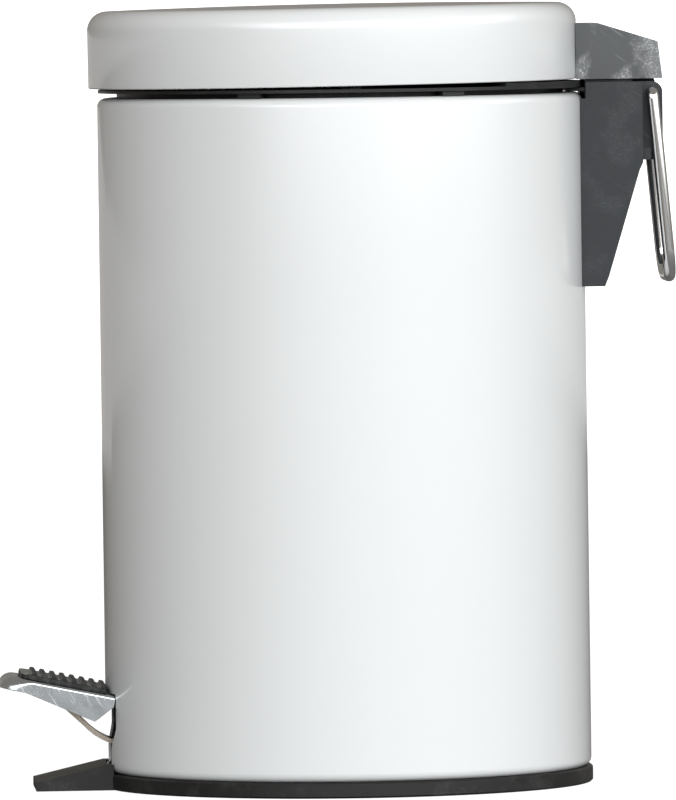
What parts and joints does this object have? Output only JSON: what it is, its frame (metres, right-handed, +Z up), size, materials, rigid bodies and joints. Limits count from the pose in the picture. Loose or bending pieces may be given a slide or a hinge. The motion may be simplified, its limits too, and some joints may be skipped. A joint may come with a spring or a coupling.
{
  "type": "pedal trash can",
  "caption": "Small round pedal bin with a tilting lid, lift-out inner bucket, front pedal, push rod and rear carry loop.",
  "frame": {"origin": "on the floor, at the centre of the round base's underside", "axes": "+Z up, +Y towards the hinge and carry loop, -Y towards the pedal, +X to the side"},
  "size_m": [0.163, 0.2272, 0.2602],
  "materials": {
    "white_enamel": "gloss",
    "black_plastic": "satin",
    "charcoal_plastic": "satin",
    "bucket_plastic": "gloss",
    "pad_rubber": "matte",
    "plated_steel": "satin",
    "chrome_wire": "mirror"
  },
  "bodies": {
    "frame": {"base": "black_plastic", "outer_shell": "white_enamel", "rear_bracket": "charcoal_plastic", "bracket_screws": "plated_steel", "bracket_washers": "plated_steel", "hinge_pin": "plated_steel", "pivot_pin": "plated_steel", "pin_clips": "plated_steel", "rod_guide": "black_plastic", "inner_bucket": "bucket_plastic"},
    "pedal": {"pedal_plate": "plated_steel", "pedal_pad": "pad_rubber", "pedal_lever": "plated_steel", "pedal_rivets": "plated_steel"},
    "rod": {"push_rod": "plated_steel", "rod_foot": "black_plastic", "rod_cap": "black_plastic"},
    "lid": {"lid_shell": "white_enamel", "hinge_arm": "black_plastic", "arm_rivets": "plated_steel", "hinge_cover": "charcoal_plastic"},
    "loop": {"carry_loop": "chrome_wire"},
    "bail": {"bucket_bail": "plated_steel"}
  },
  "joints": [
    {"name": "lid_open", "type": "hinge", "parent": "frame", "child": "lid", "pos_m": [0, 0.1032, 0.2295], "axis": [-1, 0, 0], "range_deg": [0, 72]},
    {"name": "pedal_press", "type": "hinge", "parent": "frame", "child": "pedal", "pos_m": [0, -0.048, 0.018], "axis": [1, 0, 0], "range_deg": [0, 10]},
    {"name": "rod_lift", "type": "slide", "parent": "frame", "child": "rod", "axis": [0, 0, 1], "range_m": [0, 0.0219]},
    {"name": "loop_swing", "type": "hinge", "parent": "frame", "child": "loop", "pos_m": [0, 0.1032, 0.2295], "axis": [1, 0, 0], "range_deg": [0, 115]},
    {"name": "bail_swing", "type": "hinge", "parent": "frame", "child": "bail", "pos_m": [0, 0, 0.234], "axis": [-1, 0, 0], "range_deg": [0, 15]}
  ],
  "couplings": [
    {"joint": "pedal_press", "follows": "lid_open", "ratio": 0.13889},
    {"joint": "rod_lift", "follows": "lid_open", "m_per_rad": 0.0174}
  ]
}
